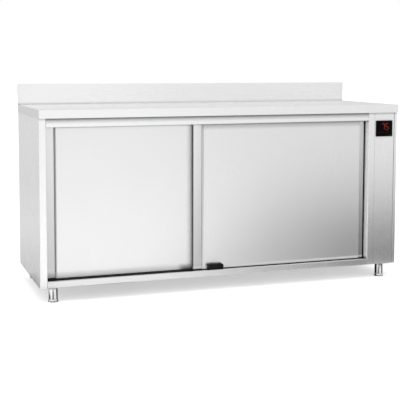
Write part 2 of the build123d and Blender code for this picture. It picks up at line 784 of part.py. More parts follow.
def upright(notched_face_out):
    """A channel 0 to UPRIGHT_DEPTH deep along local X, centred on local Y, with notches in its face."""
    low, high = FLOOR + UPRIGHT_MARGIN, CEILING - UPRIGHT_MARGIN
    half = UPRIGHT_WIDTH / 2
    bar = block((0, UPRIGHT_DEPTH), (-half, half), (low, high))
    bar -= block(
        (-SHEET, UPRIGHT_DEPTH - SHEET),
        (-half + SHEET, half - SHEET),
        (low - SHEET, high + SHEET),
    )
    count = int((high - low) / NOTCH_PITCH)
    notches = [
        block(
            (UPRIGHT_DEPTH - 2 * SHEET, UPRIGHT_DEPTH + SHEET),
            (-NOTCH_WIDTH / 2, NOTCH_WIDTH / 2),
            (height - NOTCH_HEIGHT, height),
        )
        for height in [bracket_top() + step * NOTCH_PITCH for step in range(-count, count + 1)]
        if low + NOTCH_HEIGHT + SHEET < height < high - SHEET
    ]
    return notched_face_out * (bar - notches)


def bracket_top():
    """The height of the shelf's lower edge, where the brackets carry it."""
    return SHELF_HEIGHT - SHELF_RIM


def bracket(place):
    """An angle that hooks through a notch of its upright and reaches under the shelf's edge."""
    half = BRACKET_WIDTH / 2
    face = UPRIGHT_DEPTH
    top = bracket_top()
    ledge = block((face, face + BRACKET_REACH), (-half, half), (top - BRACKET_SHEET, top))
    ledge += block((face, face + BRACKET_SHEET), (-half, half), (top - BRACKET_DROP, top))
    hook_half = NOTCH_WIDTH / 2 - FIT
    ledge += block(
        (face - SHEET - FIT, face),
        (-hook_half, hook_half),
        (top - NOTCH_HEIGHT + FIT, top - FIT),
    )
    return place * ledge


def shelf_supports():
    """Six notched uprights, each with a bracket: two on each end wall and two on the back."""
    y_low, y_high = shelf_y()
    places = []
    for y in (y_low + UPRIGHT_INSET, y_high - UPRIGHT_INSET):
        places.append(Pos(STILE_RIGHT, y, 0))
        places.append(Pos(FASCIA_LEFT, y, 0) * Rot(0, 0, 180))
    for x in (OPENING_MIDDLE - REAR_UPRIGHT_PITCH / 2, OPENING_MIDDLE + REAR_UPRIGHT_PITCH / 2):
        places.append(Pos(x, BACK_LINER_FRONT, 0) * Rot(0, 0, -90))
    return [upright(place) for place in places] + [bracket(place) for place in places]


# Door track, seals and guide


def door_track():
    """The double track over the doors: two channels, each slotted below for its hangers."""
    x = (STILE_RIGHT + FIT, FASCIA_LEFT - FIT)
    past = (x[0] - FIT, x[1] + FIT)
    outer_half = TRACK_INNER_HALF + TRACK_WALL
    track = block(x, (FRONT_DOOR_Y - outer_half, REAR_DOOR_Y + outer_half), (TRACK_BOTTOM, CEILING))
    for y in (FRONT_DOOR_Y, REAR_DOOR_Y):
        track -= block(past, (y - TRACK_INNER_HALF, y + TRACK_INNER_HALF), (TRACK_LIP_TOP, TRACK_ROOF))
        track -= block(past, (y - TRACK_SLOT / 2, y + TRACK_SLOT / 2), (TRACK_BOTTOM, TRACK_LIP_TOP))
    return track


def track_stops():
    """Rubber buffers that fill the ends of both channels, where the hangers reach at full travel."""
    reach = HANGER_INSET - HANGER_PLATE_WIDTH / 2 - STOP_FIT
    half = TRACK_INNER_HALF - FIT
    ends = ((STILE_RIGHT + FIT, DOOR_FAR_LEFT + reach), (DOOR_FAR_RIGHT - reach, FASCIA_LEFT - FIT))
    return [
        block(x, (y - half, y + half), (TRACK_LIP_TOP, TRACK_ROOF - FIT))
        for y in (FRONT_DOOR_Y, REAR_DOOR_Y)
        for x in ends
    ]


def door_seals():
    """The black rubber strips: one on each jamb and one along the sill, cut out round the guide block."""
    front_strip = FRONT_DOOR_Y - DOOR_THICKNESS / 2 + GRIP_DEPTH
    y = (front_strip - JAMB_SEAL_MARGIN, DOORS_BACK + JAMB_SEAL_MARGIN)
    z = (FLOOR + LOWER_SEAL_THICKNESS, TRACK_BOTTOM - FIT)
    left = block((STILE_RIGHT, STILE_RIGHT + JAMB_SEAL_THICKNESS), y, z)
    right = block((FASCIA_LEFT - JAMB_SEAL_THICKNESS, FASCIA_LEFT), y, z)
    half = GUIDE_LENGTH / 2 + FIT
    strips = [
        block(x, (BODY_FRONT + LOWER_SEAL_SETBACK, y[1]), (FLOOR, FLOOR + LOWER_SEAL_THICKNESS))
        for x in ((STILE_RIGHT + FIT, OPENING_MIDDLE - half), (OPENING_MIDDLE + half, FASCIA_LEFT - FIT))
    ]
    return [left, right] + strips


def guide_screw_places():
    """The guide block's two screws along X."""
    return OPENING_MIDDLE - GUIDE_SCREW_PITCH / 2, OPENING_MIDDLE + GUIDE_SCREW_PITCH / 2


def guide_screw_y():
    """The middle of the guide block's front fin."""
    fin_front = BODY_FRONT + GUIDE_FRONT_SETBACK
    fin_back = FRONT_DOOR_Y - DOOR_THICKNESS / 2 - GUIDE_DOOR_CLEARANCE
    return (fin_front + fin_back) / 2


def door_guide_block():
    """The plastic block on the sill whose three fins keep both doors' lower edges in line."""
    x = (OPENING_MIDDLE - GUIDE_LENGTH / 2, OPENING_MIDDLE + GUIDE_LENGTH / 2)
    y = (BODY_FRONT + GUIDE_FRONT_SETBACK, DOORS_BACK + GUIDE_DOOR_CLEARANCE + GUIDE_REAR_FIN)
    guide = block(x, y, (FLOOR, FLOOR + GUIDE_HEIGHT))
    guide = fillet(guide.faces().sort_by(Axis.Z)[-1].edges().filter_by(Axis.Y), GUIDE_CORNER)
    half = DOOR_THICKNESS / 2 + GUIDE_DOOR_CLEARANCE
    for door_y in (FRONT_DOOR_Y, REAR_DOOR_Y):
        guide -= block(
            (x[0] - FIT, x[1] + FIT),
            (door_y - half, door_y + half),
            (FLOOR + LOWER_SEAL_THICKNESS, FLOOR + GUIDE_HEIGHT + FIT),
        )
    top, head_hole = FLOOR + GUIDE_HEIGHT, SCREW_HEAD_RADIUS + SCREW_CLEARANCE
    for screw_x in guide_screw_places():
        guide -= rod_z(screw_x, guide_screw_y(), (FLOOR - FIT, top), SCREW_HOLE_RADIUS)
        guide -= rod_z(screw_x, guide_screw_y(), (GUIDE_SCREW_SEAT, top + FIT), head_hole)
    return guide


def guide_block_screws():
    """The two pan-head screws that hold the guide block down on the sill."""
    seat = GUIDE_SCREW_SEAT
    screws = []
    for x in guide_screw_places():
        y = guide_screw_y()
        screw = rod_z(x, y, (FLOOR - SCREW_DEPTH, seat + SCREW_HEAD / 2), SCREW_RADIUS)
        screws.append(screw + rod_z(x, y, (seat, seat + SCREW_HEAD), SCREW_HEAD_RADIUS))
    return screws


# Doors, drawn with the left edge at X = 0 and the middle of the thickness at Y = 0


def door_outline():
    """The door's section: a raised middle panel between two stepped-back grip strips."""
    back, front = DOOR_THICKNESS / 2, -DOOR_THICKNESS / 2
    strip = front + GRIP_DEPTH
    section = make_face(
        Polyline(
            (0, back),
            (0, strip),
            (LEADING_GRIP, strip),
            (LEADING_GRIP, front),
            (DOOR_WIDTH - TRAILING_GRIP, front),
            (DOOR_WIDTH - TRAILING_GRIP, strip),
            (DOOR_WIDTH, strip),
            (DOOR_WIDTH, back),
            close=True,
        )
    )
    panel_corners = [v for v in section.vertices() if abs(v.Y - front) < FIT]
    section = fillet(panel_corners, PANEL_ROUND)
    step_corners = [
        v for v in section.vertices() if abs(v.Y - strip) < FIT and FIT < v.X < DOOR_WIDTH - FIT
    ]
    return fillet(step_corners, GRIP_CORNER)


def hanger_places():
    """Where the two hangers stand along the door."""
    return HANGER_INSET, DOOR_WIDTH - HANGER_INSET


def screw_places():
    """Where the hanger screws enter the door's top edge."""
    return [place + side * SCREW_X for place in hanger_places() for side in (-1, 1)]


def door_skin():
    """The door's outer sheet, folded back along all four edges and open behind."""
    section = door_outline()
    skin = along_z(section, (DOOR_BOTTOM, DOOR_TOP))
    hollow = along_z(offset(section, -SHEET), (DOOR_BOTTOM + SHEET, DOOR_TOP - SHEET))
    back = DOOR_THICKNESS / 2
    mouth = block(
        (SHEET, DOOR_WIDTH - SHEET),
        (back - 2 * SHEET, back + SHEET),
        (DOOR_BOTTOM + SHEET, DOOR_TOP - SHEET),
    )
    skin = skin - hollow - mouth
    for x in screw_places():
        skin -= rod_z(x, 0, (DOOR_TOP - 2 * SHEET, DOOR_TOP + SHEET), SCREW_HOLE_RADIUS)
    return skin


def door_liner():
    """The flat sheet that closes the door's back."""
    inset, back = SHEET + DOOR_LINER_FIT, DOOR_THICKNESS / 2
    return block(
        (inset, DOOR_WIDTH - inset), (back - SHEET, back), (DOOR_BOTTOM + inset, DOOR_TOP - inset)
    )


def door_core():
    """The insulation board between the two sheets of the raised panel."""
    front, back = -DOOR_THICKNESS / 2 + SHEET, DOOR_THICKNESS / 2 - SHEET
    inset = SHEET + DOOR_LINER_FIT
    core = block(
        (LEADING_GRIP + PANEL_ROUND, DOOR_WIDTH - TRAILING_GRIP - PANEL_ROUND),
        (front, back),
        (DOOR_BOTTOM + inset, DOOR_TOP - inset),
    )
    for x in screw_places():
        core -= rod_z(x, 0, (DOOR_TOP - SCREW_DEPTH - 2 * SHEET, DOOR_TOP), SCREW_RADIUS + FIT)
    return core


def door_hangers():
    """The two brackets on the door's top edge that reach up through the track's slot."""
    hangers = []
    for place in hanger_places():
        half, width = HANGER_FOOT_LENGTH / 2, HANGER_FOOT_WIDTH / 2
        hanger = block((place - half, place + half), (-width, width), (DOOR_TOP, HANGER_FOOT_TOP))
        plate = HANGER_PLATE_WIDTH / 2
        hanger += block(
            (place - plate, place + plate),
            (-HANGER_SHEET / 2, HANGER_SHEET / 2),
            (HANGER_FOOT_TOP, HANGER_TOP),
        )
        hanger -= rod_y(place, (-HANGER_SHEET, HANGER_SHEET), AXLE_HEIGHT, AXLE_RADIUS)
        for x in (place - SCREW_X, place + SCREW_X):
            hanger -= rod_z(x, 0, (DOOR_TOP - FIT, HANGER_FOOT_TOP + FIT), SCREW_HOLE_RADIUS)
        hangers.append(hanger)
    return hangers


def door_fixings():
    """The two roller axles, pressed into the hangers, and the four screws through the hanger feet."""
    head_start = HANGER_SHEET / 2 + ROLLER_WIDTH + 2 * ROLLER_SIDE_GAP
    fixings = []
    for place in hanger_places():
        axle = rod_y(place, (-head_start, head_start), AXLE_HEIGHT, AXLE_RADIUS)
        for side in (-1, 1):
            ends = sorted((side * head_start, side * (head_start + AXLE_HEAD)))
            axle += rod_y(place, ends, AXLE_HEIGHT, AXLE_HEAD_RADIUS)
        fixings.append(axle)
    for x in screw_places():
        shank = rod_z(x, 0, (DOOR_TOP - SCREW_DEPTH, HANGER_FOOT_TOP + SCREW_HEAD / 2), SCREW_RADIUS)
        head = rod_z(x, 0, (HANGER_FOOT_TOP, HANGER_FOOT_TOP + SCREW_HEAD), SCREW_HEAD_RADIUS)
        fixings.append(shank + head)
    return fixings


def door_rollers(place):
    """The pair of plastic wheels on one hanger's axle, one on each side of its plate."""
    start = HANGER_SHEET / 2 + ROLLER_SIDE_GAP
    wheels = []
    for side in (-1, 1):
        ends = sorted((side * start, side * (start + ROLLER_WIDTH)))
        wheel = rod_y(place, ends, AXLE_HEIGHT, ROLLER_RADIUS)
        wheel = chamfer(wheel.edges().filter_by(GeomType.CIRCLE), FIT)
        hole = rod_y(place, (ends[0] - FIT, ends[1] + FIT), AXLE_HEIGHT, AXLE_RADIUS + AXLE_CLEARANCE)
        wheels.append(wheel - hole)
    return wheels


def save_door(name):
    """Writes all the pieces of one door at its closed place."""
    at = Pos(DOOR_STARTS[name], DOOR_CENTRES_Y[name], 0)
    save(f"{name}_door_skin", at * door_skin())
    save(f"{name}_door_liner", at * door_liner())
    save(f"{name}_door_core", at * door_core())
    save(f"{name}_door_hangers", *[at * piece for piece in door_hangers()])
    save(f"{name}_door_axles_and_screws", *[at * piece for piece in door_fixings()])
    for label, place in zip(("left", "right"), hanger_places()):
        save(f"{name}_door_{label}_rollers", *[at * wheel for wheel in door_rollers(place)])


# Digital controller


def controller_housing():
    """The controller's box behind the fascia."""
    half_width, half_height = CONTROLLER_WIDTH / 2, CONTROLLER_HEIGHT / 2
    return block(
        (DISPLAY_X - half_width, DISPLAY_X + half_width),
        (BODY_FRONT, BODY_FRONT + CONTROLLER_DEPTH),
        (DISPLAY_Z - half_height, DISPLAY_Z + half_height),
    )


def display_bezel():
    """The black frame on the fascia, recessed for its glass."""
    half_width, half_height = DISPLAY_WIDTH / 2, DISPLAY_HEIGHT / 2
    frame = block(
        (DISPLAY_X - half_width, DISPLAY_X + half_width),
        (BEZEL_FRONT, BODY_FRONT),
        (DISPLAY_Z - half_height, DISPLAY_Z + half_height),
    )
    frame = fillet(frame.edges().filter_by(Axis.Y), BEZEL_CORNER)
    frame = chamfer(frame.faces().sort_by(Axis.Y)[0].edges(), BEZEL_RIM / 4)
    return frame - block(
        (DISPLAY_X - half_width + BEZEL_RIM, DISPLAY_X + half_width - BEZEL_RIM),
        (BEZEL_FRONT - FIT, BEZEL_FRONT + GLASS_THICKNESS + DIGIT_RELIEF),
        (DISPLAY_Z - half_height + BEZEL_RIM, DISPLAY_Z + half_height - BEZEL_RIM),
    )


def display_glass():
    """The smoked glass touch plate, set flush in the bezel."""
    inset = BEZEL_RIM + FIT / 2
    half_width, half_height = DISPLAY_WIDTH / 2 - inset, DISPLAY_HEIGHT / 2 - inset
    return block(
        (DISPLAY_X - half_width, DISPLAY_X + half_width),
        (BEZEL_FRONT, BEZEL_FRONT + GLASS_THICKNESS),
        (DISPLAY_Z - half_height, DISPLAY_Z + half_height),
    )


def segment(x, z, upright_bar, length):
    """One lit bar of a seven-segment figure."""
    half, stroke = length / 2 - DIGIT_STROKE / 2, DIGIT_STROKE / 2
    wide, high = (stroke, half) if upright_bar else (half, stroke)
    y = BEZEL_FRONT + GLASS_THICKNESS
    return block((x - wide, x + wide), (y, y + DIGIT_RELIEF), (z - high, z + high))


def display_digits():
    """The lit figures behind the glass, with a row of touch marks below them."""
    half_width, quarter = DIGIT_WIDTH / 2, DIGIT_HEIGHT / 4
    bars = {
        "a": (0, 2 * quarter, False, DIGIT_WIDTH),
        "b": (half_width, quarter, True, 2 * quarter),
        "c": (half_width, -quarter, True, 2 * quarter),
        "d": (0, -2 * quarter, False, DIGIT_WIDTH),
        "f": (-half_width, quarter, True, 2 * quarter),
        "g": (0, 0, False, DIGIT_WIDTH),
    }
    centre_x, centre_z = DISPLAY_X + DIGIT_OFFSET[0], DISPLAY_Z + DIGIT_OFFSET[1]
    solids = []
    for index, lit in enumerate(DIGITS_LIT):
        digit_x = centre_x + (index - (len(DIGITS_LIT) - 1) / 2) * DIGIT_PITCH
        for name in lit:
            x, z, upright_bar, length = bars[name]
            solids.append(segment(digit_x + x, centre_z + z, upright_bar, length))
    y = BEZEL_FRONT + GLASS_THICKNESS
    for index in range(TOUCH_MARK_COUNT):
        x = DISPLAY_X + (index - (TOUCH_MARK_COUNT - 1) / 2) * TOUCH_MARK_PITCH
        z = DISPLAY_Z - DISPLAY_HEIGHT / 4
        solids.append(rod_y(x, (y, y + DIGIT_RELIEF), z, TOUCH_MARK_RADIUS))
    return solids


# Fan heater


def element_terminals():
    """Offsets along Y of the heating element's two ends, at the bottom of its ring."""
    return -ELEMENT_TERMINAL_PITCH / 2, ELEMENT_TERMINAL_PITCH / 2


def element_end_z():
    """The height of the ring's two ends, which lie on the circle at the terminals' offset."""
    return HEATER_Z - sqrt(ELEMENT_RING_RADIUS**2 - (ELEMENT_TERMINAL_PITCH / 2) ** 2)


def heater_housing():
    """The fan heater's box on the partition, open towards the compartment."""
    half = HEATER_SIZE / 2
    y, z = (HEATER_CENTRE_Y - half, HEATER_CENTRE_Y + half), (HEATER_Z - half, HEATER_Z + half)
    box = block((PARTITION_RIGHT, HEATER_RIGHT), y, z)
    box -= block(
        (PARTITION_RIGHT - SHEET, HEATER_RIGHT - SHEET),
        (y[0] + SHEET, y[1] - SHEET),
        (z[0] + SHEET, z[1] - SHEET),
    )
    wall = (HEATER_RIGHT - 2 * SHEET, HEATER_RIGHT + SHEET)
    box -= rod_x(wall, HEATER_CENTRE_Y, HEATER_Z, HUB_RADIUS)
    for offset_y in element_terminals():
        box -= rod_x(wall, HEATER_CENTRE_Y + offset_y, element_end_z(), ELEMENT_RADIUS + FIT / 2)
    return box


def heating_element():
    """A tubular element: most of a ring round the impeller, with both ends through the housing's wall."""
    ring_x = (IMPELLER_LEFT + IMPELLER_RIGHT) / 2
    gap = 2 * (180 / pi) * (ELEMENT_TERMINAL_PITCH / 2) / ELEMENT_RING_RADIUS
    arc = CenterArc((0, 0), ELEMENT_RING_RADIUS, -90 + gap / 2, 360 - gap)
    path = Pos(ring_x, HEATER_CENTRE_Y, HEATER_Z) * (Plane.YZ * arc)
    element = sweep(Plane(origin=path @ 0, z_dir=path % 0) * Circle(ELEMENT_RADIUS), path=path)
    for end in (path @ 0, path @ 1):
        element += Pos(*end) * Sphere(ELEMENT_RADIUS)
        element += rod_x((end.X, HEATER_RIGHT + ELEMENT_TERMINAL_LENGTH), end.Y, end.Z, ELEMENT_RADIUS)
    return element


def fan_impeller():
    """A centrifugal wheel: back plate, curved blades set round it, front ring and hub."""
    back = rod_x((IMPELLER_RIGHT - IMPELLER_SHEET, IMPELLER_RIGHT), 0, 0, IMPELLER_RADIUS)
    ring = rod_x((IMPELLER_LEFT, IMPELLER_LEFT + IMPELLER_SHEET), 0, 0, IMPELLER_RADIUS)
    ring -= rod_x((IMPELLER_LEFT - FIT, IMPELLER_LEFT + IMPELLER_SHEET + FIT), 0, 0, IMPELLER_EYE_RADIUS)
    hub = rod_x((IMPELLER_RIGHT - IMPELLER_WIDTH / 2, IMPELLER_RIGHT), 0, 0, HUB_RADIUS)
    wheel = back + ring + hub
    depth = IMPELLER_RADIUS - IMPELLER_EYE_RADIUS
    blade = block(
        (IMPELLER_LEFT, IMPELLER_RIGHT),
        (-IMPELLER_SHEET / 2, IMPELLER_SHEET / 2),
        (-depth / 2 + IMPELLER_SHEET, depth / 2 - IMPELLER_SHEET),
    )
    middle = (IMPELLER_RADIUS + IMPELLER_EYE_RADIUS) / 2
    for i in range(IMPELLER_BLADES):
        turned = Pos(0, 0, middle) * Rot(IMPELLER_BLADE_ANGLE, 0, 0) * blade
        wheel += Rot(360 * i / IMPELLER_BLADES, 0, 0) * turned
    wheel -= rod_x((IMPELLER_LEFT, IMPELLER_RIGHT + FIT), 0, 0, SHAFT_RADIUS)
    return Pos(0, HEATER_CENTRE_Y, HEATER_Z) * wheel


def fan_shaft():
    """The motor's shaft, pressed into the impeller's hub."""
    x = (IMPELLER_RIGHT - IMPELLER_WIDTH / 2, MOTOR_LEFT + MOTOR_LENGTH / 2)
    return rod_x(x, HEATER_CENTRE_Y, HEATER_Z, SHAFT_RADIUS)


def fan_motor():
    """The motor, and the four posts that hold it to the heater housing."""
    motor = rod_x((MOTOR_LEFT, MOTOR_LEFT + MOTOR_LENGTH), HEATER_CENTRE_Y, HEATER_Z, MOTOR_RADIUS)
    motor = fillet(motor.edges().filter_by(GeomType.CIRCLE), BEND)
    motor -= rod_x(
        (MOTOR_LEFT - FIT, MOTOR_LEFT + MOTOR_LENGTH / 2 + FIT),
        HEATER_CENTRE_Y,
        HEATER_Z,
        SHAFT_RADIUS + SHAFT_CLEARANCE,
    )
    posts = [
        rod_x((HEATER_RIGHT, MOTOR_LEFT), HEATER_CENTRE_Y + y, HEATER_Z + z, MOTOR_POST_RADIUS)
        for y in (-MOTOR_POST_OFFSET, MOTOR_POST_OFFSET)
        for z in (-MOTOR_POST_OFFSET, MOTOR_POST_OFFSET)
    ]
    return [motor] + posts


def safety_thermostat():
    """The overheat cut-out on the heater housing's wall."""
    place = HEATER_SIZE / 2 - 2 * THERMOSTAT_RADIUS
    y, z = HEATER_CENTRE_Y - place, HEATER_Z + place
    end = HEATER_RIGHT + THERMOSTAT_LENGTH
    body = rod_x((HEATER_RIGHT, end), y, z, THERMOSTAT_RADIUS)
    return body + rod_x((end, end + RESET_STEM_LENGTH), y, z, RESET_STEM_RADIUS)


# Electrical fittings


def temperature_probe():
    """The probe through the partition, with its collar on the control side."""
    x = (FASCIA_LEFT - PROBE_LENGTH, PARTITION_RIGHT + PARTITION_INSULATION)
    probe = rod_x(x, PROBE_Y, PROBE_HEIGHT, PROBE_RADIUS)
    probe += Pos(x[0], PROBE_Y, PROBE_HEIGHT) * Sphere(PROBE_RADIUS)
    collar = (PARTITION_RIGHT, PARTITION_RIGHT + PROBE_COLLAR_LENGTH)
    return probe + rod_x(collar, PROBE_Y, PROBE_HEIGHT, PROBE_COLLAR_RADIUS)


def din_rail():
    """The mounting rail on the right side panel."""
    x = (INSIDE_RIGHT - RAIL_DEPTH, INSIDE_RIGHT)
    y = (RAIL_CENTRE_Y - RAIL_LENGTH / 2, RAIL_CENTRE_Y + RAIL_LENGTH / 2)
    half = RAIL_WIDTH / 2
    crown = half - RAIL_DEPTH
    z = RAIL_HEIGHT_ABOVE_FLOOR
    rail = block(x, y, (z - crown, z + crown))
    rail -= block(
        (x[0] - FIT, x[1] - SHEET),
        (y[0] - FIT, y[1] + FIT),
        (z - crown + SHEET, z + crown - SHEET),
    )
    for side in (-1, 1):
        flange = sorted((z + side * (crown - SHEET), z + side * half))
        rail += block((x[0], x[0] + SHEET), y, flange)
    return rail


def contactor():
    """The heater's contactor on the rail."""
    depth, width, height = CONTACTOR_SIZE
    right = INSIDE_RIGHT - RAIL_DEPTH
    y = RAIL_CENTRE_Y - RAIL_LENGTH / 4
    body = block(
        (right - depth, right),
        (y - width / 2, y + width / 2),
        (RAIL_HEIGHT_ABOVE_FLOOR - height / 2, RAIL_HEIGHT_ABOVE_FLOOR + height / 2),
    )
    return chamfer(body.faces().sort_by(Axis.X)[0].edges(), BEND)


def terminal_block():
    """The row of supply terminals on the rail."""
    depth, width, height = TERMINAL_SIZE
    right = INSIDE_RIGHT - RAIL_DEPTH
    start = RAIL_CENTRE_Y + RAIL_LENGTH / 8
    terminals = []
    for i in range(TERMINAL_COUNT):
        y = start + i * width
        body = block(
            (right - depth, right),
            (y, y + width),
            (RAIL_HEIGHT_ABOVE_FLOOR - height / 2, RAIL_HEIGHT_ABOVE_FLOOR + height / 2),
        )
        screw_x = (right - depth - FIT, right - depth / 2)
        screw_z = RAIL_HEIGHT_ABOVE_FLOOR + height / 4
        terminals.append(body - rod_x(screw_x, y + width / 2, screw_z, TERMINAL_SCREW_RADIUS))
    return terminals


def gland_place():
    """Where the supply cable enters, through the base near the rear right leg."""
    return FASCIA_RIGHT - GLAND_INSET[0], LEG_REAR_Y - GLAND_INSET[1]


def cable_gland():
    """The supply cable's inlet: a domed gland under the base with its lock nut above."""
    x, y = gland_place()
    outside = BODY_BOTTOM + SHEET
    gland = rod_z(x, y, (outside - GLAND_LENGTH, outside), GLAND_RADIUS)
    gland = fillet(gland.edges().filter_by(GeomType.CIRCLE).sort_by(Axis.Z)[0], BEND)
    gland += rod_z(x, y, (outside, PAN_TOP), GLAND_NECK_RADIUS - SHAFT_CLEARANCE)
    gland += rod_z(x, y, (PAN_TOP, PAN_TOP + GLAND_NUT_HEIGHT), GLAND_RADIUS)
    return gland - rod_z(x, y, (outside - GLAND_LENGTH - FIT, PAN_TOP + GLAND_LENGTH), GLAND_BORE)


# Legs


def leg_fittings():
    """A fixing plate over each leg, and the threaded insert in the leg's lower end."""
    plates, inserts = [], []
    for x, y in LEG_PLACES.values():
        half = LEG_PLATE_SIZE / 2
        plate = block((x - half, x + half), (y - half, y + half), (LEG_TOP, LEG_PLATE_TOP))
        plates.append(fillet(plate.edges().filter_by(Axis.Z), LEG_PLATE_CORNER))
        insert = rod_z(x, y, (LEG_BOTTOM, LEG_BOTTOM + LEG_INSERT_HEIGHT), LEG_RADIUS - LEG_WALL)
        inserts.append(
            insert
            - rod_z(x, y, (LEG_BOTTOM - FIT, LEG_TOP), SPINDLE_RADIUS + SPINDLE_CLEARANCE)
        )
    return plates + inserts


def leg_tubes():
    """The four round legs."""
    tubes = []
    for x, y in LEG_PLACES.values():
        tube = rod_z(x, y, (LEG_BOTTOM, LEG_TOP), LEG_RADIUS)
        tubes.append(tube - rod_z(x, y, (LEG_BOTTOM - FIT, LEG_TOP + FIT), LEG_RADIUS - LEG_WALL))
    return tubes


def foot(x, y):
    """A screw-in foot: a flared disc with its threaded spindle, drawn without the thread."""
    disc = rod_z(x, y, (0, FOOT_HEIGHT), FOOT_RADIUS)
    rings = disc.edges().filter_by(GeomType.CIRCLE).sort_by(Axis.Z)
    disc = chamfer(rings[-1], FOOT_HEIGHT - FOOT_EDGE, FOOT_RADIUS - FOOT_NECK_RADIUS)
    lower = disc.edges().filter_by(GeomType.CIRCLE).sort_by(Axis.Z)[0]
    disc = fillet(lower, FOOT_EDGE / 2)
    return disc + rod_z(x, y, (FOOT_HEIGHT - FOOT_EDGE, FOOT_HEIGHT + SPINDLE_LENGTH), SPINDLE_RADIUS)


save("worktop", worktop())
save("upstand_end_caps", *upstand_end_caps())
save("worktop_stiffeners", *worktop_stiffeners())
save("left_side_panel", side_panel(STILE_WIDTH))
save("right_side_panel", right_side_panel())
save("back_panel", back_panel())
save("back_panel_rivets", *back_panel_rivets())
save("base_pan", base_pan())
save("sill", sill())
save("top_rail", top_rail())
save("control_fascia", control_fascia())
save("left_liner", left_liner())
save("back_liner", back_liner())
save("floor_liner", floor_liner())
save("ceiling_liner", ceiling_liner())
save("partition_wall", partition_wall())
save("wall_insulation", *wall_insulation())
save("shelf", shelf())
save("shelf_stiffener", shelf_stiffener())
save("shelf_supports", *shelf_supports())
save("door_track", door_track())
save("track_stops", *track_stops())
save("door_seals", *door_seals())
save("door_guide_block", door_guide_block())
save("guide_block_screws", *guide_block_screws())
save("controller_housing", controller_housing())
save("display_bezel", display_bezel())
save("display_glass", display_glass())
save("display_digits", *display_digits())
save("heater_housing", heater_housing())
save("heating_element", heating_element())
save("fan_impeller", fan_impeller())
save("fan_shaft", fan_shaft())
save("fan_motor", *fan_motor())
save("safety_thermostat", safety_thermostat())
save("temperature_probe", temperature_probe())
save("din_rail", din_rail())
save("contactor", contactor())
save("terminal_block", *terminal_block())
save("cable_gland", cable_gland())
save("leg_fittings", *leg_fittings())
save("leg_tubes", *leg_tubes())
for leg_name, leg_place in LEG_PLACES.items():
    save(f"{leg_name}_foot", foot(*leg_place))
save_door("left")
save_door("right")
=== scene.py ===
"""Plate warmer cabinet: the finish of each piece, and the floor, cards, lamps and camera round it.

Everything is in metres in the part's own frame: X to the right, Y from the front to the back, Z up.
No piece is added or reshaped here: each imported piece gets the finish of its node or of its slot.
A band is a pair of numbers for Tree.between: where it is still 0, and where it has grown to 1.
"""

import json
import math
from functools import reduce

import bpy
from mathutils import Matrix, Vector


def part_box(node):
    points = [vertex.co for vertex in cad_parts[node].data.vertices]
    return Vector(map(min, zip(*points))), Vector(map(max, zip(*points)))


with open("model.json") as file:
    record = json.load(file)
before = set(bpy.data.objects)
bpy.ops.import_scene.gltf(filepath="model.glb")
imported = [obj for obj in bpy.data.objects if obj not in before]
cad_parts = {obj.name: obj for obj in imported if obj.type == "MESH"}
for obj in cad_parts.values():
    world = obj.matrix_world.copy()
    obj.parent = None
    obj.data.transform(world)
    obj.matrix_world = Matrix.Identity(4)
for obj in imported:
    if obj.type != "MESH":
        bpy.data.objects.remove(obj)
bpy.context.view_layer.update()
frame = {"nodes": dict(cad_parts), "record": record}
scene = bpy.context.scene


# Node helpers


